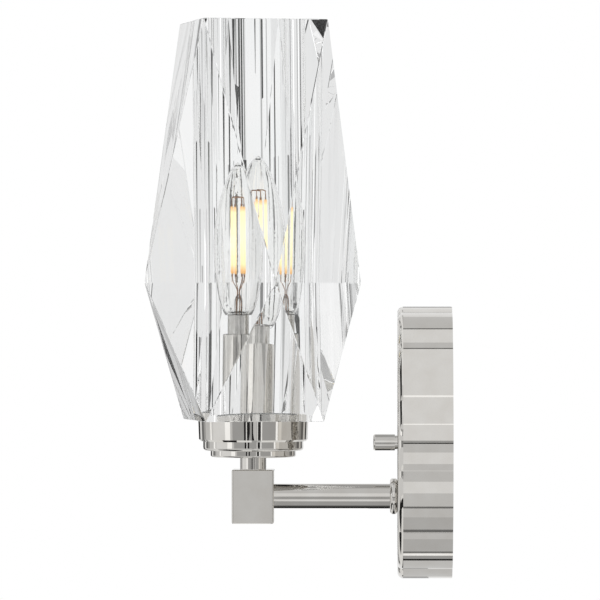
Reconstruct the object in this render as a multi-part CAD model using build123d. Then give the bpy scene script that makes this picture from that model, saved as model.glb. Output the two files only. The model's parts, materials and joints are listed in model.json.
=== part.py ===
from build123d import *
import math
import os

os.makedirs("parts", exist_ok=True)

# One-light wall sconce with a cut crystal shade, in millimetres.
# Origin: middle of the backplate on the wall plane. +Z is up, +Y goes into the wall.

# Shared fits, the gap of screw ends to the wall, and how far a cut runs past a face
FIT = 0.15
SHADE_GAP = 0.3
TURN_GAP = 0.35
WALL_GAP = 0.2
OVER = 1.0

# Backplate
PLATE_D = 127.0
PLATE_DEPTH = 25.5
PLATE_WALL = 2.5
PLATE_LOBES = 12
PLATE_TURN = 4.4
LOBE_DEPTH = 1.6
PLATE_RIM = 2.6
PLATE_EDGE_R = 2.6
CUSP_ROUND = 1.2
STUD_HOLE_GAP = 0.4

# Crossbar for the junction box
CROSSBAR_W = 20.0
CROSSBAR_T = 2.0
CROSSBAR_GAP = 1.0
SLOT_SPACING = 88.9
SLOT_LENGTH = 10.0
SLOT_WIDTH = 4.6
SLOT_END = 4.0
STUD_D = 4.2
STUD_NUT_AF = 8.7
STUD_NUT_T = 3.0
GROUND_X = 20.0
GROUND_D = 4.0
GROUND_HEAD_D = 7.6
GROUND_HEAD_T = 2.4
GROUND_SLOT_W = 1.2
GROUND_SLOT_DEPTH = 0.9

# Knob that pulls the backplate to the wall
KNOB_D = 7.6
KNOB_L = 11.3
KNOB_NECK_D = 6.4
KNOB_NECK_L = 1.2
KNOB_END_R = 0.9
KNOB_CAP_T = 2.0
STUD_END_GAP = 0.4

# Arm
NIPPLE_D = 10.0
NIPPLE_BORE = 7.0
NIPPLE_GAP = 0.5
ARM_DROP = 25.2
ARM_WALL = 0.65
FLANGE_BAND = 2.45
FLANGE_T = 3.5
FLANGE_ROUND = 1.3
WASHER_T = 0.8
WASHER_BAND = 2.6
NUT_BAND = 2.0
NUT_T = 4.0
NUT_END = 1.2

# Head: block, neck, steps and cup
HEAD_REACH = 93.0
BLOCK_W = 19.6
BLOCK_H = 25.2
BLOCK_EDGE = 0.7
NECK_WALL = 1.0
NECK_H = 5.8
LOWER_STEP_D = 40.0
LOWER_STEP_H = 3.0
MIDDLE_STEP_D = 47.0
MIDDLE_STEP_H = 4.4
CUP_D = 52.0
CUP_H = 13.4
CUP_WALL = 1.8
CUP_FLOOR = 2.0
CUP_TAPER = 0.5
STEP_ROUND = 0.9
MIDDLE_STEP_ROUND = 1.44

# Shade: a square top, a square bottom and a girdle turned by half a side between them
SHADE_H = 186.7
SHADE_TOP_R = 41.6
SHADE_GIRDLE_R = 51.8
SHADE_GIRDLE_H = 64.4
SHADE_LIP = 1.6
SHADE_LEDGE = 3.2
SHADE_SEAT = 4.4
SHADE_TURN = 13.0
GASKET_T = 0.6
GASKET_INSET = 0.1

# Lampholder and sleeve
CAP_D = 11.7
SHELL_T = 0.4
SOCKET_WALL = 3.0
SOCKET_H = 22.4
SOCKET_FLOOR = 5.8
SHELL_INSET = 0.8
BRACKET_T = 1.6
BRACKET_H = 17.2
BRACKET_EDGE = 1.0
BRACKET_GAP = 0.4
SLEEVE_WALL = 0.9
SLEEVE_H = 47.4
CONTACT_R = 2.5
CONTACT_T = 1.2
RIVET_R = 1.5
RIVET_INSET = 0.2
RIVET_HOLE_GAP = 0.5

# Bulb
BULB_D = 35.0
BULB_H = 72.5
BULB_T = 0.7
BULB_TIP_GLASS = 1.6
BULB_NECK_L = 5.0
CAP_T = 0.5
CAP_L = 12.0
CAP_TIP_GAP = 0.3
COLLAR_D = 15.0
COLLAR_H = 11.0
BULB_TIP_T = 1.5
BULB_TIP_R = 2.2
INSULATOR_H = 2.6
INSULATOR_LIP = 0.8
FILAMENT_R = 1.0
FILAMENT_FOOT = 9.5
FILAMENT_RING_R = 4.8
FILAMENT_TURN = 20.0
FILAMENT_TOP_GAP = 19.5
WIRE_R = 0.3
WIRE_RING_R = 0.8
STEM_H = 9.5
STEM_R = 2.8
STEM_TIP_R = 1.2
STEM_CONE = 2.4
STEM_GAP = 0.5
STEM_FOOT_T = 1.0
STEM_FLARE = 4.5


def upright(r, z0, z1, x=0.0, y=0.0):
    low = (Align.CENTER, Align.CENTER, Align.MIN)
    return Pos(x, y, z0) * Cylinder(r, z1 - z0, align=low)


def along_y(r, y0, y1, x=0.0, z=0.0):
    low = (Align.CENTER, Align.CENTER, Align.MIN)
    return Pos(x, y1, z) * Rot(90, 0, 0) * Cylinder(r, y1 - y0, align=low)


def hex_y(af, y0, y1, x=0.0, z=0.0):
    outline = RegularPolygon(af / 2, 6, major_radius=False)
    return Pos(x, y1, z) * Rot(90, 0, 0) * extrude(outline, amount=y1 - y0)


def hex_z(af, z0, z1, y):
    outline = RegularPolygon(af / 2, 6, major_radius=False)
    return Pos(0, y, z0) * extrude(outline, amount=z1 - z0)


def spun(points, y=0.0):
    outline = make_face(Polyline(*points, close=True))
    return Pos(0, y, 0) * revolve(Plane.XZ * outline, Axis.Z)


def polar(r, degrees, z):
    a = math.radians(degrees)
    return Vector(r * math.cos(a), r * math.sin(a), z)


def rod(p0, p1, r):
    run = p1 - p0
    low = (Align.CENTER, Align.CENTER, Align.MIN)
    return Plane(origin=p0, z_dir=run) * Cylinder(r, run.length, align=low)


# Radii and heights that follow from the sizes above
nipple_r = NIPPLE_D / 2
tapped_r = nipple_r + FIT
arm_r = tapped_r + ARM_WALL
head_y = -HEAD_REACH
plate_front = -PLATE_DEPTH
plate_inner = plate_front + PLATE_WALL
cavity_r = PLATE_D / 2 - LOBE_DEPTH - PLATE_RIM
block_top = -ARM_DROP + BLOCK_H / 2
block_back = head_y + BLOCK_W / 2
step1_z = block_top + NECK_H
step2_z = step1_z + LOWER_STEP_H
cup_z = step2_z + MIDDLE_STEP_H
cup_top = cup_z + CUP_H
cup_floor = cup_z + CUP_FLOOR
cup_r = CUP_D / 2
shell_in = CAP_D / 2 + TURN_GAP
shell_out = shell_in + SHELL_T
body_in = shell_out + FIT
body_out = body_in + SOCKET_WALL
sleeve_in = body_out + FIT
sleeve_out = sleeve_in + SLEEVE_WALL
sleeve_top = cup_floor + SLEEVE_H

# Backplate: scalloped outline of outward lobes, hollow from behind
crest_r = PLATE_D / 2
cusp_r = crest_r - LOBE_DEPTH
lobe = 360.0 / PLATE_LOBES
arcs = []
for k in range(PLATE_LOBES):
    crest_angle = PLATE_TURN + k * lobe
    a0 = polar(cusp_r, crest_angle - lobe / 2, 0)
    a1 = polar(crest_r, crest_angle, 0)
    a2 = polar(cusp_r, crest_angle + lobe / 2, 0)
    arcs.append(ThreePointArc(a0, a1, a2))
outline = make_face(arcs)
outline = fillet(outline.vertices(), CUSP_ROUND)
plate = Rot(90, 0, 0) * extrude(outline, amount=PLATE_DEPTH)
front_edges = plate.faces().sort_by(Axis.Y)[0].edges()
plate = fillet(front_edges, PLATE_EDGE_R)
plate -= along_y(cavity_r, plate_inner, OVER)
plate -= along_y(STUD_D / 2 + STUD_HOLE_GAP, plate_front - OVER, plate_inner + OVER)
plate -= along_y(tapped_r, plate_front - OVER, plate_inner + OVER, z=-ARM_DROP)
export_step(plate, "parts/backplate.step")

# Crossbar with two slots for the junction box screws
bar_l = SLOT_SPACING + SLOT_LENGTH + 2 * SLOT_END
bar = Pos(0, -CROSSBAR_T / 2, 0) * Box(bar_l, CROSSBAR_T, CROSSBAR_W)
bar &= along_y(cavity_r - CROSSBAR_GAP, -CROSSBAR_T - OVER, OVER)
for side in (-1, 1):
    slot = Rot(90, 0, 0) * extrude(SlotOverall(SLOT_LENGTH, SLOT_WIDTH), amount=CROSSBAR_T + 2 * OVER)
    bar -= Pos(side * SLOT_SPACING / 2, OVER, 0) * slot
bar -= along_y(STUD_D / 2 + FIT, -CROSSBAR_T - OVER, OVER)
bar -= along_y(GROUND_D / 2 + FIT, -CROSSBAR_T - OVER, OVER, x=GROUND_X)
export_step(bar, "parts/mounting_crossbar.step")

# Stud, its nut and the bonding screw
knob_end = plate_front - KNOB_L
stud = along_y(STUD_D / 2, knob_end + KNOB_CAP_T + STUD_END_GAP, -WALL_GAP)
export_step(stud, "parts/crossbar_stud.step")
stud_nut = hex_y(STUD_NUT_AF, -CROSSBAR_T - STUD_NUT_T, -CROSSBAR_T)
stud_nut -= along_y(STUD_D / 2 + FIT, -CROSSBAR_T - STUD_NUT_T - OVER, 0)
export_step(stud_nut, "parts/stud_nut.step")
ground = along_y(GROUND_D / 2, -CROSSBAR_T, -WALL_GAP, x=GROUND_X)
ground += along_y(GROUND_HEAD_D / 2, -CROSSBAR_T - GROUND_HEAD_T, -CROSSBAR_T, x=GROUND_X)
groove = Pos(GROUND_X, -CROSSBAR_T - GROUND_HEAD_T, 0) * Box(
    GROUND_HEAD_D + OVER, 2 * GROUND_SLOT_DEPTH, GROUND_SLOT_W
)
export_step(ground - groove, "parts/ground_screw.step")

# Knob: turned cap with a narrower neck against the backplate
knob = along_y(KNOB_D / 2, knob_end, plate_front - KNOB_NECK_L)
knob = fillet(knob.faces().sort_by(Axis.Y)[0].edges(), KNOB_END_R)
knob += along_y(KNOB_NECK_D / 2, plate_front - KNOB_NECK_L, plate_front)
knob -= along_y(STUD_D / 2 + TURN_GAP, knob_end + KNOB_CAP_T, plate_front + OVER)
export_step(knob, "parts/plate_knob.step")

# Arm: tube, flange ring and the threaded pipe through both
arm = along_y(arm_r, block_back, plate_front, z=-ARM_DROP)
arm -= along_y(tapped_r, block_back - OVER, plate_front + OVER, z=-ARM_DROP)
export_step(arm, "parts/arm_tube.step")
flange = along_y(arm_r + FIT + FLANGE_BAND, plate_front - FLANGE_T, plate_front, z=-ARM_DROP)
flange = fillet(flange.edges().filter_by(GeomType.CIRCLE), FLANGE_ROUND)
flange -= along_y(arm_r + FIT, plate_front - FLANGE_T - OVER, plate_front + OVER, z=-ARM_DROP)
export_step(flange, "parts/arm_flange.step")
washer_end = plate_inner + WASHER_T
nut_end = washer_end + NUT_T
pipe = along_y(nipple_r, head_y + tapped_r + NIPPLE_GAP, nut_end + NUT_END, z=-ARM_DROP)
pipe -= along_y(NIPPLE_BORE / 2, head_y, 0, z=-ARM_DROP)
export_step(pipe, "parts/arm_nipple.step")
arm_washer = along_y(tapped_r + WASHER_BAND, plate_inner, washer_end, z=-ARM_DROP)
arm_washer -= along_y(tapped_r, plate_inner - OVER, washer_end + OVER, z=-ARM_DROP)
export_step(arm_washer, "parts/arm_lock_washer.step")
arm_nut = hex_y(2 * (tapped_r + NUT_BAND), washer_end, nut_end, z=-ARM_DROP)
arm_nut -= along_y(tapped_r, washer_end - OVER, nut_end + OVER, z=-ARM_DROP)
export_step(arm_nut, "parts/arm_nut.step")

# Corner block, drilled from the back and from the top
block = Pos(0, head_y, -ARM_DROP) * Box(BLOCK_W, BLOCK_W, BLOCK_H)
block = fillet(block.edges(), BLOCK_EDGE)
block -= along_y(tapped_r, head_y, block_back + OVER, z=-ARM_DROP)
block -= upright(tapped_r, -ARM_DROP - tapped_r, block_top + OVER, y=head_y)
export_step(block, "parts/corner_block.step")

# Neck and the two steps under the cup
neck = upright(tapped_r + NECK_WALL, block_top, step1_z, y=head_y)
neck -= upright(tapped_r, block_top - OVER, step1_z + OVER, y=head_y)
export_step(neck, "parts/neck_collar.step")
lower = upright(LOWER_STEP_D / 2, step1_z, step2_z, y=head_y)
lower = fillet(lower.faces().sort_by(Axis.Z)[0].edges(), STEP_ROUND)
lower -= upright(tapped_r, step1_z - OVER, step2_z + OVER, y=head_y)
export_step(lower, "parts/lower_step.step")
middle = upright(MIDDLE_STEP_D / 2, step2_z, cup_z, y=head_y)
middle = fillet(middle.faces().sort_by(Axis.Z)[0].edges(), MIDDLE_STEP_ROUND)
middle -= upright(tapped_r, step2_z - OVER, cup_z + OVER, y=head_y)
export_step(middle, "parts/middle_step.step")

# Cup: a straight wall that narrows a little towards its bottom
cup = spun(
    [
        (0, cup_z),
        (cup_r - CUP_TAPER - STEP_ROUND, cup_z),
        (cup_r - CUP_TAPER, cup_z + STEP_ROUND),
        (cup_r, cup_top),
        (cup_r - CUP_WALL, cup_top),
        (cup_r - CUP_WALL - CUP_TAPER, cup_floor),
        (0, cup_floor),
    ],
    head_y,
)
cup -= upright(tapped_r, cup_z - OVER, cup_floor + OVER, y=head_y)
export_step(cup, "parts/shade_cup.step")

# Threaded pipe, washer and nut that clamp the head together
washer_top = cup_floor + WASHER_T
head_nut_top = washer_top + NUT_T
bracket_top = head_nut_top + BRACKET_T
head_pipe = upright(nipple_r, -ARM_DROP + tapped_r + NIPPLE_GAP, bracket_top + NUT_END, y=head_y)
head_pipe -= upright(NIPPLE_BORE / 2, -ARM_DROP, bracket_top + NUT_END + OVER, y=head_y)
export_step(head_pipe, "parts/head_nipple.step")
head_washer = upright(tapped_r + WASHER_BAND, cup_floor, washer_top, y=head_y)
head_washer -= upright(tapped_r, cup_floor - OVER, washer_top + OVER, y=head_y)
export_step(head_washer, "parts/head_lock_washer.step")
head_nut = hex_z(2 * (tapped_r + NUT_BAND), washer_top, head_nut_top, head_y)
head_nut -= upright(tapped_r, washer_top - OVER, head_nut_top + OVER, y=head_y)
export_step(head_nut, "parts/head_nut.step")

# Lampholder: steel bracket, moulded body, screw shell and centre contact
bracket_end = head_nut_top + BRACKET_H
bracket_r = sleeve_in - BRACKET_GAP
strip_w = 2 * (tapped_r + BRACKET_EDGE)
bracket = upright(bracket_r, head_nut_top, bracket_end, y=head_y)
bracket -= Pos(0, head_y, (head_nut_top + bracket_end) / 2) * Box(
    2 * (bracket_r - BRACKET_T), 2 * sleeve_out, BRACKET_H - 2 * BRACKET_T
)
bracket &= Pos(0, head_y, (head_nut_top + bracket_end) / 2) * Box(2 * sleeve_out, strip_w, BRACKET_H)
bracket -= upright(tapped_r, head_nut_top - OVER, bracket_top + OVER, y=head_y)
bracket -= upright(RIVET_R + RIVET_HOLE_GAP, bracket_end - BRACKET_T - OVER, bracket_end + OVER, y=head_y)
export_step(bracket, "parts/socket_bracket.step")
body_top = bracket_end + SOCKET_H
shell_z = bracket_end + SOCKET_FLOOR
body = upright(body_out, bracket_end, body_top, y=head_y)
body -= upright(body_in, shell_z, body_top + OVER, y=head_y)
body -= upright(RIVET_R + FIT, bracket_end - OVER, shell_z + OVER, y=head_y)
export_step(body, "parts/socket_body.step")
shell = upright(shell_out, shell_z, body_top - SHELL_INSET, y=head_y)
shell -= upright(shell_in, shell_z - OVER, body_top, y=head_y)
export_step(shell, "parts/socket_screw_shell.step")
contact_top = shell_z + CONTACT_T
contact = upright(CONTACT_R, shell_z, contact_top, y=head_y)
contact += upright(RIVET_R, bracket_end + RIVET_INSET, shell_z, y=head_y)
export_step(contact, "parts/socket_contact.step")

# Polished sleeve round the lampholder
sleeve = upright(sleeve_out, cup_floor, sleeve_top, y=head_y)
sleeve -= upright(sleeve_in, cup_floor - OVER, sleeve_top + OVER, y=head_y)
export_step(sleeve, "parts/candle_sleeve.step")

# Clear ring between the cup's rim and the glass
gasket = upright(cup_r - GASKET_INSET, cup_top, cup_top + GASKET_T, y=head_y)
gasket -= upright(cup_r - CUP_WALL, cup_top - OVER, cup_top + GASKET_T + OVER, y=head_y)
export_step(gasket, "parts/shade_gasket.step")

# Shade: sixteen flat triangles between a square top, a turned girdle and a square bottom
seat_z = cup_top + GASKET_T
shade_z = seat_z - SHADE_SEAT
seat_r = cup_r + SHADE_GAP
shade_bottom_r = (seat_r + SHADE_LIP) * math.sqrt(2)
girdle_z = shade_z + SHADE_GIRDLE_H
shade_top = shade_z + SHADE_H
top_ring = [polar(SHADE_TOP_R, SHADE_TURN + 45 + 90 * k, shade_top) for k in range(4)]
low_ring = [polar(shade_bottom_r, SHADE_TURN + 45 + 90 * k, shade_z) for k in range(4)]
girdle = [polar(SHADE_GIRDLE_R, SHADE_TURN + 90 * k, girdle_z) for k in range(4)]
facets = [Face(Wire.make_polygon(top_ring)), Face(Wire.make_polygon(low_ring))]
for k in range(4):
    n = (k + 1) % 4
    facets.append(Face(Wire.make_polygon([top_ring[k - 1], top_ring[k], girdle[k]])))
    facets.append(Face(Wire.make_polygon([girdle[k], girdle[n], top_ring[k]])))
    facets.append(Face(Wire.make_polygon([low_ring[k - 1], low_ring[k], girdle[k]])))
    facets.append(Face(Wire.make_polygon([girdle[k], girdle[n], low_ring[k]])))
gem = Solid(Shell(facets))
gem = Part(gem.wrapped) - upright(cup_r - SHADE_LEDGE, shade_z - OVER, shade_top + OVER)
gem -= upright(seat_r, shade_z - OVER, seat_z)
shade = Pos(0, head_y, 0) * gem
export_step(shade, "parts/shade.step")

# Bulb: screw cap with its insulator and tip, and the collar that joins it to the glass
tip_z = contact_top + CAP_TIP_GAP
insulator_z = tip_z + BULB_TIP_T
cap_z = insulator_z + INSULATOR_H
collar_z = cap_z + CAP_L
glass_z = collar_z + COLLAR_H
cap_r = CAP_D / 2
collar_r = COLLAR_D / 2
tip = upright(BULB_TIP_R, tip_z, insulator_z, y=head_y)
export_step(tip, "parts/bulb_contact.step")
insulator = spun(
    [(0, insulator_z), (BULB_TIP_R + INSULATOR_LIP, insulator_z), (cap_r - CAP_T, cap_z), (0, cap_z)],
    head_y,
)
export_step(insulator, "parts/bulb_insulator.step")
cap = upright(cap_r, cap_z, collar_z, y=head_y)
cap -= upright(cap_r - CAP_T, cap_z + CAP_T, collar_z + OVER, y=head_y)
export_step(cap, "parts/bulb_cap.step")
collar = upright(collar_r, collar_z, glass_z, y=head_y)
collar -= upright(collar_r - CAP_T, collar_z + CAP_T, glass_z + OVER, y=head_y)
collar -= upright(cap_r - CAP_T, collar_z - OVER, collar_z + OVER, y=head_y)
export_step(collar, "parts/bulb_collar.step")

# Candle-shaped glass with a rounded tip, as shares of its radius and height
bulb_shares = [
    (0.53, 0.0), (0.68, 0.05), (0.80, 0.12), (0.905, 0.22), (0.97, 0.33), (1.0, 0.44), (0.965, 0.55),
    (0.87, 0.66), (0.73, 0.76), (0.56, 0.85), (0.38, 0.92), (0.21, 0.97),
]
neck_r = collar_r - CAP_T - FIT
neck_in = neck_r - BULB_T
neck_z = glass_z - BULB_NECK_L
outer = [(BULB_D / 2 * r, glass_z + BULB_H * h) for r, h in bulb_shares]
inner = [(r - BULB_T, z) for r, z in outer]
inner[0] = (outer[0][0] - BULB_T, glass_z + BULB_T)
tip_out = (0, glass_z + BULB_H)
tip_in = (0, glass_z + BULB_H - BULB_TIP_GLASS)
glass_face = make_face(
    [
        Line((neck_r, neck_z), (neck_r, glass_z)),
        Line((neck_r, glass_z), outer[0]),
        Spline(*outer, tip_out),
        Line(tip_out, tip_in),
        Spline(*inner, tip_in),
        Line(inner[0], (neck_in, glass_z + BULB_T)),
        Line((neck_in, glass_z + BULB_T), (neck_in, neck_z)),
        Line((neck_in, neck_z), (neck_r, neck_z)),
    ]
)
bulb_glass = Pos(0, head_y, 0) * revolve(Plane.XZ * glass_face, Axis.Z)
export_step(bulb_glass, "parts/bulb_glass.step")

# Glass stem, upright filaments and the wires that carry them
stem_top = glass_z + STEM_H
stem_z = neck_z + STEM_GAP
foot_top = stem_z + STEM_FOOT_T
stem = spun(
    [
        (0, stem_z),
        (neck_in - FIT, stem_z),
        (neck_in - FIT, foot_top),
        (STEM_R, foot_top + STEM_FLARE),
        (STEM_R, stem_top - STEM_CONE),
        (STEM_TIP_R, stem_top),
        (0, stem_top),
    ],
    head_y,
)
export_step(stem, "parts/bulb_stem.step")
filament_top = glass_z + BULB_H - FILAMENT_TOP_GAP
filament_low = stem_top + FILAMENT_FOOT
spots = [polar(FILAMENT_RING_R, 90 + FILAMENT_TURN + 90 * k, 0) + Vector(0, head_y, 0) for k in range(4)]
filaments = [upright(FILAMENT_R, filament_low, filament_top, x=s.X, y=s.Y) for s in spots]
export_step(Compound(children=filaments), "parts/bulb_filaments.step")
wires = []
for k, s in enumerate(spots):
    foot = polar(WIRE_RING_R, 90 + FILAMENT_TURN + 90 * k, stem_top + WIRE_R) + Vector(0, head_y, 0)
    wires.append(rod(foot, Vector(s.X, s.Y, filament_low - WIRE_R), WIRE_R))
for k in (0, 2):
    lift = Vector(0, 0, filament_top + WIRE_R)
    wires.append(rod(spots[k] + lift, spots[k + 1] + lift, WIRE_R))
export_step(Compound(children=wires), "parts/filament_wires.step")
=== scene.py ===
"""Vanity wall light: one cut-crystal shade on a stepped cup, a square elbow and a scalloped backplate."""
import json
import math

import bmesh
import bpy
from mathutils import Matrix, Vector


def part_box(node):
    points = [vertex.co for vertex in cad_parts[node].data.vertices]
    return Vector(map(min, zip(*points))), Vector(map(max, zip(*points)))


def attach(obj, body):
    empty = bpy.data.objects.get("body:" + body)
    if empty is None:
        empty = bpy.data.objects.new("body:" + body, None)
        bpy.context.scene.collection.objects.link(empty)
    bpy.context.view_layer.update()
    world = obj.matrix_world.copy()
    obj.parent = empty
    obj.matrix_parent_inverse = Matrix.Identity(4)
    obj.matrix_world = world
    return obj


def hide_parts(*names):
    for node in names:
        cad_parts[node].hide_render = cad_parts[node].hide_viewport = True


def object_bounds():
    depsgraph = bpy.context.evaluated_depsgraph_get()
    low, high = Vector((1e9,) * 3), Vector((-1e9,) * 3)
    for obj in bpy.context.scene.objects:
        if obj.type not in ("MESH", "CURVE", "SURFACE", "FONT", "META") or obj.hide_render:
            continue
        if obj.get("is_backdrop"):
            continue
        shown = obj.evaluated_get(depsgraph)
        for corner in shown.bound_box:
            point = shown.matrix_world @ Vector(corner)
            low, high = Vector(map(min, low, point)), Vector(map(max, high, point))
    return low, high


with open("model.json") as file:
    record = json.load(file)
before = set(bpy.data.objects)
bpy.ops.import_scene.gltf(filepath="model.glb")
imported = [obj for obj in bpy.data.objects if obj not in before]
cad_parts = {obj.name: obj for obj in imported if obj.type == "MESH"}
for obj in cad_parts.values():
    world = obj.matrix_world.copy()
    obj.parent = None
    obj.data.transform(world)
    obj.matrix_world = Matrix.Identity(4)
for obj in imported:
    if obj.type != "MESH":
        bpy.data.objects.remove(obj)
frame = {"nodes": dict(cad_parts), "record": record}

cad_low, cad_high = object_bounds()
nodes = frame["nodes"]
MM = 0.001
# Points nearer to each other than this count as one, in millimetres
SAME = 0.01

# Distance of the head's upright axis from the wall, in millimetres
HEAD_Y = -93.0
ON_HEAD = Matrix.Translation((0, HEAD_Y * MM, 0))
TO_WALL = Matrix.Rotation(math.radians(-90), 4, "X")


def linear(hex_colour):
    """A colour written as sRGB hex, as the linear RGBA that the shaders work in."""
    values = [int(hex_colour[k:k + 2], 16) / 255 for k in (1, 3, 5)]
    return [v / 12.92 if v <= 0.04045 else ((v + 0.055) / 1.055) ** 2.4 for v in values] + [1.0]


def add(tree, kind, inputs=None, stops=()):
    """Adds one node: inputs are values or other nodes' outputs, stops are a ramp's places and colours."""
    made = tree.nodes.new(kind)
    for key, value in (inputs or {}).items():
        if isinstance(value, bpy.types.NodeSocket):
            tree.links.new(value, made.inputs[key])
        else:
            made.inputs[key].default_value = value
    for k, (position, colour) in enumerate(stops):
        stop = made.color_ramp.elements[k] if k < 2 else made.color_ramp.elements.new(position)
        stop.position = position
        stop.color = linear(colour)
    return made


def new_finish(name):
    """An empty material and its node tree."""
    material = bpy.data.materials.new(name)
    material.use_nodes = True
    material.node_tree.nodes.clear()
    return material, material.node_tree


def own_place(tree):
    """The piece's own coordinates, in metres."""
    return add(tree, "ShaderNodeTexCoord").outputs["Object"]


def blotched_finish(name, size, detail, colours, inputs, rough=None, relief=None):
    """A finish whose colour, roughness and relief follow one cloudy pattern; size is its blotches' in mm."""
    material, tree = new_finish(name)
    pattern = add(tree, "ShaderNodeTexNoise", {
        "Vector": own_place(tree), "Scale": 1 / (size * MM), "Detail": detail,
    }).outputs["Fac"]
    tone = add(tree, "ShaderNodeValToRGB", {"Fac": pattern}, zip(BLOTCH_SPAN, colours))
    inputs = {**inputs, "Base Color": tone.outputs["Color"]}
    if rough:
        least, most = rough
        spread = add(tree, "ShaderNodeMapRange", {"Value": pattern, "To Min": least, "To Max": most})
        inputs["Roughness"] = spread.outputs["Result"]
    if relief:
        bump = add(tree, "ShaderNodeBump", {"Height": pattern, "Strength": relief, "Distance": RELIEF_DEPTH})
        inputs["Normal"] = bump.outputs["Normal"]
    shader = add(tree, "ShaderNodeBsdfPrincipled", inputs)
    add(tree, "ShaderNodeOutputMaterial", {"Surface": shader.outputs["BSDF"]})
    return material


def led_phosphor():
    """Phosphor over a lit LED strip: warm yellow, deeper orange towards its ends."""
    material, tree = new_finish("lit_led_phosphor")
    height = add(tree, "ShaderNodeSeparateXYZ", {"Vector": own_place(tree)}).outputs["Z"]
    low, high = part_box("bulb_filaments")
    along = add(tree, "ShaderNodeMapRange", {"Value": height, "From Min": low.z, "From Max": high.z})
    glow = add(tree, "ShaderNodeValToRGB", {"Fac": along.outputs["Result"]}, (
        (0.0, "#B98450"), (0.07, "#E0AE68"), (0.17, "#FFE9B0"),
        (0.5, "#FFF4C8"), (0.88, "#FFECB8"), (0.97, "#D9A864"),
    )).outputs["Color"]
    shader = add(tree, "ShaderNodeBsdfPrincipled", {
        "Roughness": 0.4, "Emission Strength": 1.25, "Base Color": linear("#5A3C10"), "Emission Color": glow,
    })
    add(tree, "ShaderNodeOutputMaterial", {"Surface": shader.outputs["BSDF"]})
    return material


METAL = {"Metallic": 1.0}
# Noise values between which a finish goes from its first colour to its second
BLOTCH_SPAN = (0.3, 0.7)
RELIEF_DEPTH = 0.1 * MM

# Buffed nickel plate: a warm grey mirror with faint cloudy buffing marks
NICKEL = blotched_finish("polished_nickel_plate", 9.0, 4.0, ("#D3D0CB", "#D9D7D3"), METAL, (0.015, 0.045))
# Bright zinc on stamped steel: blue-grey, half matt, with crystal blotches
ZINC = blotched_finish("zinc_plated_steel", 3.0, 5.0, ("#A9ADB0", "#C6C9CB"), METAL, (0.24, 0.42), 0.12)
# Green dyed plating on the bonding screw: metal that shows through where it is worn
GREEN = blotched_finish(
    "green_dyed_screw_plate", 1.6, 4.0, ("#1E5A32", "#3E8A55"), {"Metallic": 0.85}, (0.3, 0.5)
)
# Optical crystal, flat cut and polished: clear, with bright edges and almost no tint
CRYSTAL = blotched_finish("cut_crystal", 40.0, 3.0, ("#FCFDFD", "#FFFFFF"), {
    "Transmission Weight": 1.0, "IOR": 1.37, "Roughness": 0.0,
})
# Thin blown bulb glass: clear, with a slow wave left by the mould
BULB = blotched_finish("blown_bulb_glass", 22.0, 1.0, ("#FBFBFA", "#FFFFFF"), {
    "Transmission Weight": 1.0, "IOR": 1.46, "Roughness": 0.0,
})
# Clear moulded silicone: milky, soft sheen
SILICONE = blotched_finish("clear_silicone", 2.5, 3.0, ("#E4E7E7", "#F2F4F4"), {
    "Transmission Weight": 0.7, "IOR": 1.41,
}, (0.3, 0.45))
# Moulded black phenolic: brown-black, dull, with flow marks
PHENOLIC = blotched_finish("moulded_black_phenolic", 4.0, 5.0, ("#151413", "#24211F"), {}, (0.42, 0.6))
# Rolled brass strip: yellow metal, lightly dulled
BRASS = blotched_finish("rolled_brass", 3.0, 4.0, ("#B8924A", "#D9B768"), METAL, (0.18, 0.34))
# Nickel-plated cap sheet: a softer mirror than the turned parts
CAP = blotched_finish("nickel_plated_cap_sheet", 4.0, 3.0, ("#C2C0BC", "#D2D0CC"), METAL, (0.1, 0.2))
# Solder blob on the bulb's tip: grey, uneven
SOLDER = blotched_finish("tin_solder", 1.2, 4.0, ("#9A9A98", "#BDBDBB"), METAL, (0.25, 0.5))
# Black glass insulator in the cap: glossy with a faint purple cast
BLACK_GLASS = blotched_finish("black_cap_glass", 2.0, 3.0, ("#0D0B10", "#1A171D"), {"Roughness": 0.12})
# Copper-clad lead wire: brown where the sealing flame heated it, lighter elsewhere
WIRE = blotched_finish("copper_clad_lead_wire", 2.0, 3.0, ("#7A4E34", "#B98B62"), METAL, (0.28, 0.42))
PHOSPHOR = led_phosphor()
FINISHES = {
    "polished_nickel": NICKEL,
    "zinc_steel": ZINC,
    "green_steel": GREEN,
    "cut_crystal": CRYSTAL,
    "clear_silicone": SILICONE,
    "black_phenolic": PHENOLIC,
    "brass": BRASS,
    "bulb_glass": BULB,
    "nickel_cap": CAP,
    "solder": SOLDER,
    "black_glass": BLACK_GLASS,
    "led_phosphor": PHOSPHOR,
}
slot_of = {part["node"]: part["material_slot"] for part in frame["record"]["subparts"]}
for name, solid in nodes.items():
    solid.data.materials.clear()
    solid.data.materials.append(FINISHES[slot_of[name]])


def place_piece(name, bm, at, material, body, stands_for):
    """Takes a shape modelled in millimetres to its place, gives it its finish and puts it on its body."""
    for edge in bm.edges:
        edge.smooth = all(face.smooth for face in edge.link_faces)
    bmesh.ops.transform(bm, matrix=at @ Matrix.Scale(MM, 4), verts=bm.verts)
    mesh = bpy.data.meshes.new(name)
    bm.to_mesh(mesh)
    bm.free()
    mesh.materials.append(material)
    piece = bpy.data.objects.new(name, mesh)
    bpy.context.scene.collection.objects.link(piece)
    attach(piece, body)
    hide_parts(*stands_for)


def ring(bm, radius, z, segments, turn=0.0):
    """A loop of edges round the shape's own Z axis."""
    at = Matrix.Translation((0, 0, z)) @ Matrix.Rotation(math.radians(turn), 4, "Z")
    chosen = set(bmesh.ops.create_circle(bm, segments=segments, radius=radius, matrix=at)["verts"])
    return [edge for edge in bm.edges if set(edge.verts) <= chosen]


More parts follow.
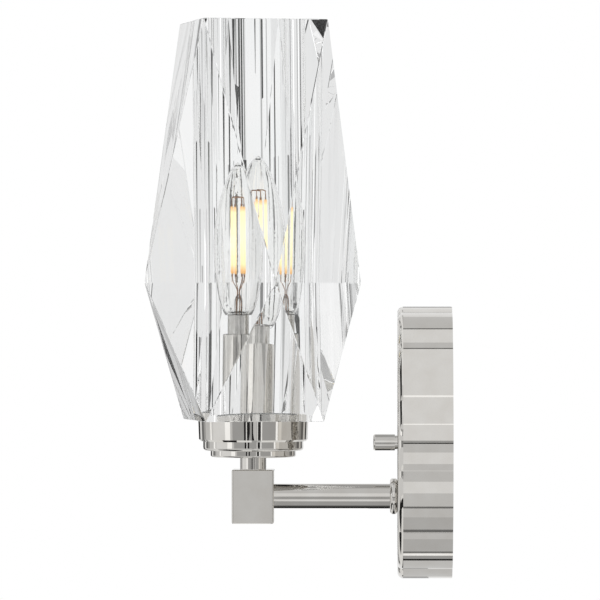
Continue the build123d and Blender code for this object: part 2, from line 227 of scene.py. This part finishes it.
# Sizes of the cut glass, as the solid has them
SHADE_TURN = 13.0
SHADE_TOP_R = 41.6
SHADE_GIRDLE_R = 51.8
SHADE_LOW_R = 39.457
SHADE_TOP_Z = 196.9
SHADE_GIRDLE_Z = 74.6
SHADE_LOW_Z = 10.2
BORE_R = 22.8
SEAT_R = 26.3
SEAT_Z = 14.6
EDGE_CUT = 0.35
BORE_STEPS = 192
# A face whose unit normal rises at least this far is level
LEVEL_NORMAL = 0.99


def crystal_shade():
    """The gem: three turned squares joined by flat triangles, cut edges, then bore and seat."""
    bm = bmesh.new()
    top_edges = ring(bm, SHADE_TOP_R, SHADE_TOP_Z, 4, SHADE_TURN + 45)
    girdle = ring(bm, SHADE_GIRDLE_R, SHADE_GIRDLE_Z, 4, SHADE_TURN)
    low_edges = ring(bm, SHADE_LOW_R, SHADE_LOW_Z, 4, SHADE_TURN + 45)
    bmesh.ops.bridge_loops(bm, edges=top_edges + girdle)
    bmesh.ops.bridge_loops(bm, edges=girdle + low_edges)
    bmesh.ops.triangulate(bm, faces=bm.faces[:], quad_method="SHORT_EDGE")
    bmesh.ops.edgeloop_fill(bm, edges=top_edges)
    bmesh.ops.edgeloop_fill(bm, edges=low_edges)
    bmesh.ops.recalc_face_normals(bm, faces=bm.faces)
    bmesh.ops.bevel(
        bm, geom=bm.edges[:], offset=EDGE_CUT, offset_type="OFFSET", segments=2, profile=0.5,
        affect="EDGES", material=-1,
    )
    bmesh.ops.recalc_face_normals(bm, faces=bm.faces)
    top = max((f for f in bm.faces if f.normal.z > LEVEL_NORMAL), key=lambda f: f.calc_area())
    low = max((f for f in bm.faces if f.normal.z < -LEVEL_NORMAL), key=lambda f: f.calc_area())
    top_edges = top.edges[:]
    low_edges = low.edges[:]
    bmesh.ops.delete(bm, geom=[top, low], context="FACES_ONLY")
    bore_top = ring(bm, BORE_R, SHADE_TOP_Z, BORE_STEPS)
    bore_low = ring(bm, BORE_R, SEAT_Z, BORE_STEPS)
    seat_top = ring(bm, SEAT_R, SEAT_Z, BORE_STEPS)
    seat_low = ring(bm, SEAT_R, SHADE_LOW_Z, BORE_STEPS)
    walls = bmesh.ops.bridge_loops(bm, edges=bore_top + bore_low)["faces"]
    walls += bmesh.ops.bridge_loops(bm, edges=seat_top + seat_low)["faces"]
    bmesh.ops.bridge_loops(bm, edges=bore_low + seat_top)
    bmesh.ops.triangle_fill(bm, edges=top_edges + bore_top, use_beauty=True)
    bmesh.ops.triangle_fill(bm, edges=seat_low + low_edges, use_beauty=True)
    bmesh.ops.recalc_face_normals(bm, faces=bm.faces)
    for face in walls:
        face.smooth = True
    place_piece("crystal_shade", bm, ON_HEAD, CRYSTAL, "shade", ["shade"])


# Filaments: lit strips between metal tabs, and the wires that carry them
FILAMENTS = 4
FILAMENT_RING_R = 4.8
FILAMENT_TURN = 20.0
STRIP_R = 1.0
STRIP_END_R = 0.6
STRIP_STEPS = 24
STRIP_LOW = 79.4
STRIP_HIGH = 110.8
TAB_LOW = 78.0
TAB_HIGH = 112.0
TAB_W = 1.3
TAB_T = 0.4
TAB_LAP = 0.8
LOOP_RISE = 3.2
LOOP_BEND = 0.8
LOOP_DRAW_IN = 0.4
WIRE_LAP = 1.0
WIRE_R = 0.3
STEM_WIRE_R = 1.5
STEM_FOOT_Z = 56.0
STEM_TOP_Z = 68.5
LEAD_NECK_R = 0.9


def filament_spot(k, radius, z):
    """A point on filament k's side of the bulb's axis."""
    a = math.radians(90 + FILAMENT_TURN + 360 / FILAMENTS * k)
    return Vector((radius * math.cos(a), radius * math.sin(a), z))


def filament_strips():
    """Four round-ended strips of phosphor on one ring."""
    bm = bmesh.new()
    for k in range(FILAMENTS):
        at = Matrix.Translation(filament_spot(k, FILAMENT_RING_R, (STRIP_LOW + STRIP_HIGH) / 2))
        strip = bmesh.ops.create_cone(
            bm, cap_ends=True, segments=STRIP_STEPS, radius1=STRIP_R, radius2=STRIP_R,
            depth=STRIP_HIGH - STRIP_LOW, matrix=at,
        )["verts"]
        rims = {e for v in strip for e in v.link_edges if abs(e.verts[0].co.z - e.verts[1].co.z) < SAME}
        bmesh.ops.bevel(
            bm, geom=list(rims), offset=STRIP_END_R, offset_type="OFFSET", segments=4, profile=0.5,
            affect="EDGES", material=-1,
        )
    for face in bm.faces:
        face.smooth = True
    place_piece("filament_strips", bm, ON_HEAD, PHOSPHOR, "bulb", ["bulb_filaments"])


def wire_along(bm, points):
    """A round wire bent through these points."""
    curve = bpy.data.curves.new("wire", "CURVE")
    curve.dimensions = "3D"
    curve.bevel_depth = WIRE_R
    curve.bevel_resolution = 3
    curve.use_fill_caps = True
    line = curve.splines.new("NURBS")
    line.points.add(len(points) - 1)
    for spot, point in zip(line.points, points):
        spot.co = (*point, 1.0)
    line.order_u = 3
    line.use_endpoint_u = True
    line.resolution_u = 6
    bent = bpy.data.objects.new("wire", curve)
    mesh = bpy.data.meshes.new_from_object(bent)
    bm.from_mesh(mesh)
    bpy.data.objects.remove(bent)
    bpy.data.meshes.remove(mesh)
    bpy.data.curves.remove(curve)


def filament_wirework():
    """Leads up through the stem to each strip, end tabs, and a raised loop across each pair of tops."""
    bm = bmesh.new()
    for k in range(FILAMENTS):
        for low, high in ((TAB_LOW, STRIP_LOW + TAB_LAP), (STRIP_HIGH - TAB_LAP, TAB_HIGH)):
            at = Matrix.Translation(filament_spot(k, FILAMENT_RING_R, (low + high) / 2))
            at = at @ Matrix.Rotation(math.radians(FILAMENT_TURN + 360 / FILAMENTS * k), 4, "Z")
            bmesh.ops.create_cube(bm, matrix=at @ Matrix.Diagonal((TAB_W, TAB_T, high - low, 1.0)))
        wire_along(bm, [
            filament_spot(k, STEM_WIRE_R, STEM_FOOT_Z),
            filament_spot(k, STEM_WIRE_R, STEM_TOP_Z - 4.0),
            filament_spot(k, LEAD_NECK_R, STEM_TOP_Z + 0.5),
            filament_spot(k, LEAD_NECK_R, STEM_TOP_Z + 2.5),
            filament_spot(k, FILAMENT_RING_R, TAB_LOW - 3.0),
            filament_spot(k, FILAMENT_RING_R, TAB_LOW + WIRE_LAP),
        ])
    for k in (0, 2):
        over = TAB_HIGH + LOOP_RISE
        wire_along(bm, [
            filament_spot(k, FILAMENT_RING_R, TAB_HIGH - WIRE_LAP),
            filament_spot(k, FILAMENT_RING_R, over - LOOP_BEND),
            filament_spot(k, FILAMENT_RING_R - LOOP_DRAW_IN, over),
            filament_spot(k + 1, FILAMENT_RING_R - LOOP_DRAW_IN, over),
            filament_spot(k + 1, FILAMENT_RING_R, over - LOOP_BEND),
            filament_spot(k + 1, FILAMENT_RING_R, TAB_HIGH - WIRE_LAP),
        ])
    place_piece("filament_wirework", bm, ON_HEAD, WIRE, "bulb", ["filament_wires"])


# Glass stem: flared foot, tube and a pinched top that seals the wires
STEM_PROFILE = ((0.0, 54.5), (5.9, 54.5), (5.9, 55.5), (4.0, 56.6), (3.0, 58.4), (2.8, 60.5), (2.8, 65.6))
STEM_PINCH = ((2.6, 66.6), (1.9, 67.8), (1.2, 68.5), (0.0, 68.6))
PINCH_THIN = 0.62
STEM_STEPS = 64


def glass_stem():
    """Spun glass tube, squeezed flat across one way at its top."""
    bm = bmesh.new()
    verts = [bm.verts.new((r, 0, z)) for r, z in STEM_PROFILE + STEM_PINCH]
    edges = [bm.edges.new(pair) for pair in zip(verts, verts[1:])]
    bmesh.ops.spin(
        bm, geom=verts + edges, cent=(0, 0, 0), axis=(0, 0, 1), angle=2 * math.pi, steps=STEM_STEPS,
        use_merge=True,
    )
    bmesh.ops.remove_doubles(bm, verts=bm.verts, dist=SAME)
    squeezed = [v for v in bm.verts if v.co.z > STEM_PROFILE[-1][1]]
    bmesh.ops.scale(bm, vec=(PINCH_THIN, 1.0, 1.0), verts=squeezed)
    bmesh.ops.recalc_face_normals(bm, faces=bm.faces)
    for face in bm.faces:
        face.smooth = True
    place_piece("glass_stem", bm, ON_HEAD, BULB, "bulb", ["bulb_stem"])


THREAD_STEPS = 40


def thread_wall(bm, crest, root, pitch, length):
    """A rounded screw thread round +Z from 0 to length, trimmed flat; gives its two end loops."""
    shape = ((0.0, root), (0.2, root), (0.42, crest), (0.58, crest), (0.8, root), (1.0, root))
    verts = [bm.verts.new((r, 0, (share - 2) * pitch)) for share, r in shape]
    edges = [bm.edges.new(pair) for pair in zip(verts, verts[1:])]
    bmesh.ops.spin(
        bm, geom=verts + edges, cent=(0, 0, 0), axis=(0, 0, 1), dvec=(0, 0, pitch / THREAD_STEPS),
        angle=2 * math.pi, steps=THREAD_STEPS,
    )
    first_turn = bm.verts[:] + bm.edges[:] + bm.faces[:]
    for k in range(1, math.ceil(length / pitch) + 3):
        turn = bmesh.ops.duplicate(bm, geom=first_turn)["geom"]
        lifted = [item for item in turn if isinstance(item, bmesh.types.BMVert)]
        bmesh.ops.translate(bm, vec=(0, 0, k * pitch), verts=lifted)
    bmesh.ops.remove_doubles(bm, verts=bm.verts, dist=SAME / 2)
    for z, side in ((0.0, "clear_inner"), (length, "clear_outer")):
        everything = bm.verts[:] + bm.edges[:] + bm.faces[:]
        bmesh.ops.bisect_plane(bm, geom=everything, plane_co=(0, 0, z), plane_no=(0, 0, 1), **{side: True})
    for face in bm.faces:
        face.smooth = True
    ends = [e for e in bm.edges if e.is_boundary]
    low = [e for e in ends if e.verts[0].co.z < length / 2]
    high = [e for e in ends if e.verts[0].co.z > length / 2]
    return low, high


def threaded_piece(name, node, sizes, bore, at, material, body):
    """A thread as long as its solid, over a straight bore where it has one."""
    low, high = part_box(node)
    length = max(high - low) / MM
    bm = bmesh.new()
    low_edges, high_edges = thread_wall(bm, *sizes, length)
    if bore:
        bore_low = ring(bm, bore, 0.0, THREAD_STEPS)
        bore_high = ring(bm, bore, length, THREAD_STEPS)
        for face in bmesh.ops.bridge_loops(bm, edges=bore_low + bore_high)["faces"]:
            face.smooth = True
        low_edges = low_edges + bore_low
        high_edges = high_edges + bore_high
    bmesh.ops.triangle_fill(bm, edges=low_edges, use_beauty=True)
    bmesh.ops.triangle_fill(bm, edges=high_edges, use_beauty=True)
    bmesh.ops.recalc_face_normals(bm, faces=bm.faces)
    place_piece(name, bm, at, material, body, [node])


# Steps along each flat of a nut, and how steeply its corners are turned down
NUT_STEPS = 8
NUT_CHAMFER = 0.58


def hex_nut(name, node, bore, at):
    """A hexagon nut whose corners are turned down at both ends, over its bore."""
    low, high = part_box(node)
    height, flats, corners = sorted((high - low) / MM)
    bm = bmesh.new()
    loops = []
    for z, inward in ((0.0, 1), (height, -1)):
        outline = ring(bm, corners / 2, z, 6, 90)
        made = bmesh.ops.subdivide_edges(bm, edges=outline, cuts=NUT_STEPS - 1)["geom_inner"]
        outline = list({e for v in made if isinstance(v, bmesh.types.BMVert) for e in v.link_edges})
        for vert in {v for e in outline for v in e.verts}:
            vert.co.z += inward * NUT_CHAMFER * (vert.co.xy.length - flats / 2)
        face_edge = ring(bm, flats / 2, z, 6 * NUT_STEPS, 90)
        hole = ring(bm, bore, z, 6 * NUT_STEPS, 90)
        loops.append((outline, face_edge, hole))
    for outline, face_edge, hole in loops:
        bmesh.ops.bridge_loops(bm, edges=outline + face_edge)
        bmesh.ops.bridge_loops(bm, edges=face_edge + hole)
    bmesh.ops.bridge_loops(bm, edges=loops[0][0] + loops[1][0])
    for face in bmesh.ops.bridge_loops(bm, edges=loops[0][2] + loops[1][2])["faces"]:
        face.smooth = True
    bmesh.ops.recalc_face_normals(bm, faces=bm.faces)
    place_piece(name, bm, at, ZINC, "fixture", [node])


def foot_of(node):
    """Middle of the node's near end: the lowest point of its upright axis, or the front of its level one."""
    low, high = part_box(node)
    middle = (low + high) / 2
    return Vector((middle.x, middle.y, low.z)), Vector((middle.x, low.y, middle.z))


# Crest radius, root radius and pitch of each screw thread
PIPE_THREAD = (5.0, 4.55, 0.94)
STUD_THREAD = (2.1, 1.72, 0.79)
CAP_THREAD = (5.85, 5.35, 2.54)
PIPE_BORE = 3.5
CAP_BORE = 4.85
SOLID = 0.0
PIPE_HOLE = 5.15
STUD_HOLE = 2.25

crystal_shade()
filament_strips()
filament_wirework()
glass_stem()
for name, node, sizes, bore, finish, body, slot in (
    ("threaded_arm_pipe", "arm_nipple", PIPE_THREAD, PIPE_BORE, ZINC, "fixture", "zinc_steel"),
    ("threaded_wall_stud", "crossbar_stud", STUD_THREAD, SOLID, ZINC, "fixture", "zinc_steel"),
):
    at = Matrix.Translation(foot_of(node)[1]) @ TO_WALL
    threaded_piece(name, node, sizes, bore, at, finish, body)
for name, node, sizes, bore, finish, body, slot in (
    ("threaded_head_pipe", "head_nipple", PIPE_THREAD, PIPE_BORE, ZINC, "fixture", "zinc_steel"),
    ("rolled_bulb_cap", "bulb_cap", CAP_THREAD, CAP_BORE, CAP, "bulb", "nickel_cap"),
):
    at = Matrix.Translation(foot_of(node)[0])
    threaded_piece(name, node, sizes, bore, at, finish, body)
hex_nut("turned_stud_nut", "stud_nut", STUD_HOLE, Matrix.Translation(foot_of("stud_nut")[1]) @ TO_WALL)
hex_nut("turned_arm_nut", "arm_nut", PIPE_HOLE, Matrix.Translation(foot_of("arm_nut")[1]) @ TO_WALL)
hex_nut("turned_head_nut", "head_nut", PIPE_HOLE, Matrix.Translation(foot_of("head_nut")[0]))

# Photograph's camera: level, at the light's right-hand side, stood a little nearer the wall than its target
REACH = 2.41
FRAME_WIDTH = 0.2808
TARGET_Y = -0.0711
CAMERA_Y = -0.0285
CAMERA_Z = 0.0666
SENSOR = 36.0
BOUNCES = 32
lens = bpy.data.cameras.new("camera")
lens.sensor_width = SENSOR
lens.lens = SENSOR * REACH / FRAME_WIDTH
camera = bpy.data.objects.new("camera", lens)
camera.location = (REACH, CAMERA_Y, CAMERA_Z)
camera.rotation_euler = (math.pi / 2, 0, math.pi / 2 + math.atan2(CAMERA_Y - TARGET_Y, REACH))
bpy.context.scene.collection.objects.link(camera)
bpy.context.scene.camera = camera
bpy.context.scene.view_settings.view_transform = "Standard"
bpy.context.scene.cycles.max_bounces = BOUNCES
bpy.context.scene.cycles.glossy_bounces = BOUNCES
bpy.context.scene.cycles.transmission_bounces = BOUNCES

# Studio, in metres: pale floor, white surround, and cards that only show in glass and metal
STUDIO_MIDDLE = Vector((0, -0.08, 0.0))
FLOOR_MIDDLE = Vector((0, -0.07, -1.25))
FLOOR_R = 4.0
FLOOR_STEPS = 96
world = bpy.data.worlds.new("studio")
world.use_nodes = True
world.node_tree.nodes["Background"].inputs["Color"].default_value = (1, 1, 1, 1)
world.node_tree.nodes["Background"].inputs["Strength"].default_value = 1.0
bpy.context.scene.world = world


def stage_object(name, bm, material):
    """A piece of the studio, which is no part of the light."""
    mesh = bpy.data.meshes.new(name)
    bm.to_mesh(mesh)
    bm.free()
    mesh.materials.append(material)
    prop = bpy.data.objects.new(name, mesh)
    bpy.context.scene.collection.objects.link(prop)
    prop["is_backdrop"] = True
    return prop


def pale_floor():
    """Matt off-white paint, a little uneven."""
    paint = blotched_finish("pale_floor_paint", 300.0, 3.0, ("#F1F1F0", "#F4F4F3"), {"Roughness": 0.9})
    bm = bmesh.new()
    at = Matrix.Translation(FLOOR_MIDDLE)
    bmesh.ops.create_circle(bm, cap_ends=True, segments=FLOOR_STEPS, radius=FLOOR_R, matrix=at)
    stage_object("floor", bm, paint)


def studio_card(axis, radius, start, end, low, high, tone, foot=1.0):
    """A card bent round an axis, in degrees off the camera's side; foot is its low end's share of width."""
    material, tree = new_finish("studio_card")
    glow = add(tree, "ShaderNodeEmission", {"Color": (tone, tone, tone, 1)})
    add(tree, "ShaderNodeOutputMaterial", {"Surface": glow.outputs["Emission"]})
    bm = bmesh.new()
    middle = (start + end) / 2
    steps = max(2, round((end - start) / CARD_STEP))
    ribs = []
    for k in range(steps + 1):
        angle = start + (end - start) * k / steps
        rib = []
        for reach, turn in ((low, middle + (angle - middle) * foot), (high, angle)):
            out = Matrix.Rotation(math.radians(turn), 3, axis) @ Vector((radius, 0, 0))
            rib.append(bm.verts.new(STUDIO_MIDDLE + out + axis * reach))
        ribs.append(rib)
    for (a, b), (c, d) in zip(ribs, ribs[1:]):
        bm.faces.new((a, b, d, c))
    card = stage_object("card", bm, material)
    card.visible_camera = False
    card.visible_diffuse = False
    card.visible_shadow = False


def soft_light(name, place, size, power):
    """A square soft lamp, in metres and watts, turned to the studio's middle, unseen in glass and metal."""
    lamp = bpy.data.lights.new(name, "AREA")
    lamp.size = size
    lamp.energy = power
    light = bpy.data.objects.new(name, lamp)
    light.location = place
    light.rotation_euler = (STUDIO_MIDDLE - Vector(place)).to_track_quat("-Z", "Y").to_euler()
    light.visible_camera = False
    light.visible_glossy = False
    light.visible_transmission = False
    bpy.context.scene.collection.objects.link(light)


# Axes that cards are bent round, and degrees between two ribs of a card
UPRIGHT = Vector((0, 0, 1))
LEVEL = Vector((0, -1, 0))
CARD_STEP = 5
# Tones of the studio's cards, from a black flag to a lit panel
BLACK = 0.02
DARK = 0.2
GREY = 0.45
MIDDLE = 0.58
PALE = 0.7
TENT = 0.8
WHITE = 0.92
BRIGHT = 1.3
# Radii of the cards, from the surround inwards
TENT_R = 1.30
BACK_R = 1.29
GLASS_CARD_R = 1.25
METAL_CARD_R = 1.20
SIDE_CARD_R = 1.05
LOW_RING_R = 0.85
ROOM_CARD_R = 0.6
# Heights where tall cards and the low strips end, and the foot of a strip that runs to a point
CARD_FOOT = -0.9
CARD_TOP = 1.0
LOW_STRIP_TOP = 0.1
POINTED = 0.1
# Reaches towards the room: behind the plate, at its front, at the end of the arm
PLATE_REAR = -0.14
PLATE_FRONT = -0.0555
ARM_END = 0.028

pale_floor()
soft_light("key_light", (1.4, -1.1, 1.5), 1.2, 6.0)
soft_light("fill_light", (1.1, 0.9, 0.8), 1.0, 3.0)
# Pale tent with a white back, in degrees towards the wall side
studio_card(UPRIGHT, TENT_R, -180, 180, CARD_FOOT, CARD_TOP, TENT)
studio_card(UPRIGHT, BACK_R, 163, 197, CARD_FOOT, CARD_TOP, WHITE)
# Pointed strips that draw lines in the upper facets: degrees, heights and tone
for start, end, low, high, tone in (
    (-177.5, -173.5, 0.055, 0.18, BLACK), (-177.5, -173.5, 0.21, 0.32, BLACK),
    (-168, -165, 0.105, 0.26, DARK), (-163.5, -160.5, 0.13, 0.6, PALE), (-154.5, -144.5, 0.12, 0.22, BLACK),
    (-152.5, -144.5, 0.015, 0.045, BLACK), (-147, -143, 0.22, 0.32, BLACK), (-146, -138.5, 0.03, 0.1, BLACK),
    (-131, -122, 0.09, 0.17, GREY), (-118, -110, 0.06, 0.13, GREY), (151, 153.5, 0.08, 0.15, GREY),
    (153, 163, 0.15, 0.23, GREY), (163.9, 164.6, 0.08, 0.24, DARK),
):
    studio_card(UPRIGHT, GLASS_CARD_R, start, end, low, high, tone, POINTED)
# Low strips that draw lines in the lower facets
for start, end, tone in (
    (-161.5, -160, DARK), (-158.5, -156, BLACK), (-154.8, -151.8, BLACK), (-148.6, -146.4, DARK),
    (118.5, 123.5, GREY), (138, 146, DARK), (169.4, 170.6, GREY), (176.4, 178.4, GREY),
):
    studio_card(UPRIGHT, GLASS_CARD_R, start, end, CARD_FOOT, LOW_STRIP_TOP, tone)
# Tall lit strips
for start, end in ((-100, -96), (98, 102), (127, 130)):
    studio_card(UPRIGHT, GLASS_CARD_R, start, end, CARD_FOOT, CARD_TOP, BRIGHT)
# Band of cards at the height that the upright metal reflects
for start, end, tone in (
    (-163, -147, BLACK), (-144, -136, WHITE), (-135, -125, DARK), (-125, -117, GREY), (-117, -103, PALE),
    (-91, -60, WHITE), (-60, -48, BRIGHT), (-48, -43, PALE), (-43, -18.3, GREY), (-18.3, -14.2, BLACK),
    (-14.2, -12.1, WHITE), (-12.1, -7.9, BLACK), (-7.9, -3.2, GREY), (-3.2, -1.2, PALE), (-1.2, 8.7, GREY),
    (8.7, 10.9, WHITE), (10.9, 15.1, BLACK), (15.1, 17.2, DARK), (17.2, 19.3, BRIGHT), (19.3, 49, GREY),
    (49, 60, BRIGHT), (60, 97, WHITE), (97, 111, PALE), (119, 127, GREY), (139, 151, BLACK),
):
    studio_card(UPRIGHT, METAL_CARD_R, start, end, -0.20, 0.0, tone)
# Second band, seen by the candle sleeve and by the cup behind the shade's lip
for start, end, tone in (
    (-60, -19.5, BRIGHT), (-19.5, -16, BLACK), (-16, -12.5, WHITE), (-12.5, -8.5, DARK), (10, 13.5, BLACK),
    (13.5, 16, DARK), (16, 49, GREY),
):
    studio_card(UPRIGHT, METAL_CARD_R, start, end, 0.13, 0.25, tone)
# Third band, seen by the cup through the shade's lip
for start, end, tone in ((-40, -36.5, BLACK), (-36.5, 12, GREY)):
    studio_card(UPRIGHT, METAL_CARD_R, start, end, 0.25, 0.33, tone)
# Narrow level cards round the arm and knob, in degrees upwards from the camera's side
for start, end, tone in (
    (80, 145, GREY), (27, 80, PALE), (0, 27, WHITE), (-29, -9, GREY), (-48, -29, WHITE), (-93.5, -48, GREY),
    (-107.5, -93.5, DARK), (-150, -107.5, BLACK),
):
    studio_card(LEVEL, SIDE_CARD_R, start, end, PLATE_FRONT, ARM_END, tone)
studio_card(LEVEL, SIDE_CARD_R, -9, -3, PLATE_FRONT, 0.024, BLACK)
# Level cards round the plate's scalloped side
for start, end, tone in (
    (138, 150, WHITE), (103.5, 138, PALE), (101, 103.5, DARK), (23.5, 101, WHITE), (22, 23.5, BRIGHT),
    (0, 22, WHITE), (-4.5, -3, BLACK), (-16.5, -4.5, PALE), (-33, -16.5, WHITE), (-53, -33, PALE),
    (-56, -53, DARK), (-71, -56, PALE), (-95, -71, MIDDLE), (-98.5, -95, DARK), (-104.5, -101, BRIGHT),
    (-113, -104.5, GREY), (-118, -113, BLACK), (-150, -118, PALE),
):
    studio_card(LEVEL, SIDE_CARD_R, start, end, PLATE_REAR, PLATE_FRONT, tone)
studio_card(LEVEL, SIDE_CARD_R, 163, 177, -0.092, PLATE_FRONT, BLACK)
# Dark ring below the lens, seen in the rounded lower edges of the cup and its steps
studio_card(UPRIGHT, LOW_RING_R, -100, 100, -1.2, -0.72, BLACK)
# Dark level cards towards the room, seen in the plate's rounded front edge
for start, end in ((25, 110), (-110, -58)):
    studio_card(LEVEL, ROOM_CARD_R, start, end, 0.2, 0.84, BLACK)

sizes = {"cad": [list(cad_low), list(cad_high)], "visual": [list(v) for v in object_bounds()]}
